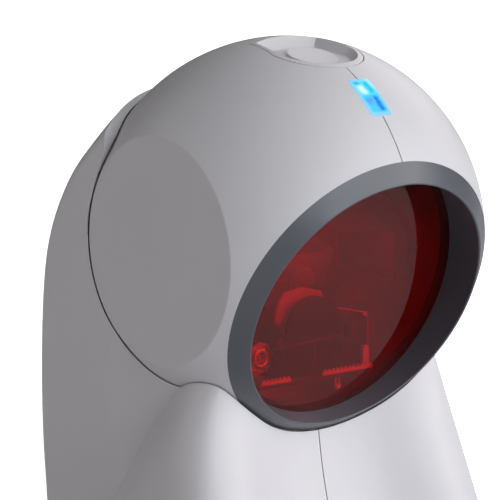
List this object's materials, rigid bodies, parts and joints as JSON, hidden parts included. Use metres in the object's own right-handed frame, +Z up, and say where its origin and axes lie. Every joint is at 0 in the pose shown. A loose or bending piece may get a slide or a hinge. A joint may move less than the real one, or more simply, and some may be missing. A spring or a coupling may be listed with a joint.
{
  "type": "presentation barcode scanner",
  "caption": "Hands-free presentation scanner: ball head with a round red window, tilting in a cup-shaped stand with a flared foot.",
  "frame": {"origin": "middle of the footprint, on the surface the feet rest on", "axes": "+Z up, +X to the right seen from the front, the window faces -Y; the tilt axis is parallel to X at 100 mm height"},
  "size_m": [0.1034, 0.1055, 0.15],
  "materials": {
    "shell": "warm light grey ABS, fine satin texture",
    "bezel": "blue-grey satin ABS",
    "window": "dark red polished filter",
    "rubber": "matt black",
    "dark_plastic": "black moulded plastic",
    "steel": "zinc-plated steel",
    "cast_metal": "die-cast, as cast",
    "brass": "machined",
    "pin_steel": "ground",
    "bush_plastic": "natural acetal",
    "indicator": "clear lens, blue lamps",
    "board": "green solder mask",
    "chip": "black epoxy",
    "mirror": "front-silvered"
  },
  "bodies": {
    "stand": {"stand_shell_left": "shell", "stand_shell_right": "shell", "base_plate": "dark_plastic", "rubber_feet": "rubber", "base_screws": "steel", "threaded_inserts": "brass", "ballast_weight": "steel", "tilt_yoke": "cast_metal", "yoke_screws": "steel", "pivot_pin_left": "pin_steel", "pivot_pin_right": "pin_steel", "friction_washer_left": "bush_plastic", "friction_washer_right": "bush_plastic", "cable_socket": "dark_plastic", "socket_contacts": "brass", "socket_board": "board", "harness_lower": "rubber"},
    "head": {"head_shell_left": "shell", "head_shell_right": "shell", "head_screws": "steel", "pivot_bush_left": "bush_plastic", "pivot_bush_right": "bush_plastic", "window_bezel": "bezel", "scan_window": "window", "window_gasket": "rubber", "indicator_lens": "indicator", "indicator_board": "board", "indicator_leds": "indicator", "button_board": "board", "button_switch": "chip", "optical_bench": "dark_plastic", "bench_screws": "steel", "pattern_mirrors": "mirror", "collecting_mirror": "mirror", "laser_module": "brass", "photodetector_board": "board", "main_board": "board", "board_chips": "chip", "beeper": "dark_plastic", "motor_stator": "dark_plastic", "rotor_spindle": "steel", "harness_upper": "rubber"},
    "button": {"mode_button": "shell"},
    "rotor": {"rotor_hub": "steel", "polygon_mirror": "mirror"}
  },
  "joints": [
    {"name": "head_tilt", "type": "hinge", "parent": "stand", "child": "head", "pos_m": [0, 0, 0.1], "axis": [-1, 0, 0], "range_deg": [0, 30]},
    {"name": "button_press", "type": "slide", "parent": "head", "child": "button", "axis": [0, 0.2079, -0.9781], "range_m": [0, 0.0008], "stiffness_N_per_m": 1200},
    {"name": "polygon_spin", "type": "hinge", "parent": "head", "child": "rotor", "pos_m": [0, 0.00325, 0.09269], "axis": [0, -0.9135, -0.4067], "continuous": true}
  ]
}
